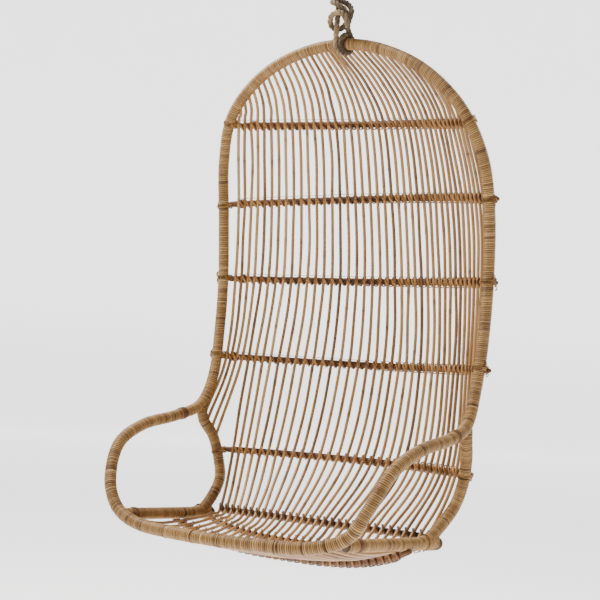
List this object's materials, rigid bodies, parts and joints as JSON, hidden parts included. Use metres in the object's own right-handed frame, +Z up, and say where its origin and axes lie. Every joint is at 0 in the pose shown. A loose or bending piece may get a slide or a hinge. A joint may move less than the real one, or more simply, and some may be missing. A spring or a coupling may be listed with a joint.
{
  "type": "hanging egg chair",
  "caption": "Rattan hanging egg chair with a bound pole hoop, curved arms, a back and seat of long lashed canes, and a rope up to a swivelling ceiling fitting.",
  "frame": {"origin": "middle of the ceiling plate's top face, where it meets the ceiling", "axes": "+Z up; -Y is the way the chair's open front faces; +X is the sitter's left"},
  "size_m": [0.7107, 0.6222, 1.4783],
  "materials": {
    "poles": "rattan pole wound edge to edge with split peel, clear varnish",
    "canes": "natural thin rattan cane with dark nodes, satin varnish",
    "crossbars": "rattan cane under diagonal peel lashings",
    "binding": "darker split peel",
    "rope": "three-strand natural fibre rope",
    "whipping": "tight twine",
    "fitting": "brushed stainless",
    "links": "polished stainless",
    "fasteners": "stainless",
    "washer": "plain bearing bronze"
  },
  "bodies": {
    "ceiling": {"ceiling_plate": "fitting", "swivel_cup": "fitting", "cup_screws": "fasteners", "thrust_washer": "washer"},
    "swivel": {"swivel_eye": "links", "swivel_nut": "fasteners"},
    "ring": {"hanging_ring": "links"},
    "chair": {"rope_eye": "rope", "rope_whipping": "whipping", "rope": "rope", "rope_turns": "rope", "rope_knot": "rope", "hoop_arch": "poles", "arm_left": "poles", "arm_right": "poles", "front_rail": "poles", "side_post_left": "poles", "side_post_right": "poles", "side_rail_left": "poles", "side_rail_right": "poles", "arm_bindings": "binding", "corner_bindings": "binding", "rear_bindings": "binding", "rail_binding": "binding", "back_bar_1": "crossbars", "back_bar_2": "crossbars", "back_bar_3": "crossbars", "back_bar_4": "crossbars", "back_bar_5": "crossbars", "seat_bar_1": "crossbars", "seat_bar_2": "crossbars", "seat_bar_3": "crossbars", "rib_centre": "canes", "rib_pair_01": "canes", "rib_pair_02": "canes", "rib_pair_03": "canes", "rib_pair_04": "canes", "rib_pair_05": "canes", "rib_pair_06": "canes", "rib_pair_07": "canes", "rib_pair_08": "canes", "rib_pair_09": "canes", "rib_pair_10": "canes", "rib_pair_11": "canes", "rib_pair_12": "canes", "rib_pair_13": "canes", "rib_pair_14": "canes", "rib_pair_15": "canes", "rib_pair_16": "canes", "rib_pair_17": "canes", "rib_pair_18": "canes", "rib_pair_19": "canes"}
  },
  "joints": [
    {"name": "swivel_spin", "type": "hinge", "parent": "ceiling", "child": "swivel", "pos_m": [0, 0, -0.036], "axis": [0, 0, 1], "continuous": true},
    {"name": "swing_fore_aft", "type": "hinge", "parent": "swivel", "child": "ring", "pos_m": [0, 0, -0.078], "axis": [1, 0, 0], "range_deg": [-30, 30]},
    {"name": "swing_sideways", "type": "hinge", "parent": "ring", "child": "chair", "pos_m": [0, 0, -0.1087], "axis": [0, 1, 0], "range_deg": [-20, 20]}
  ]
}
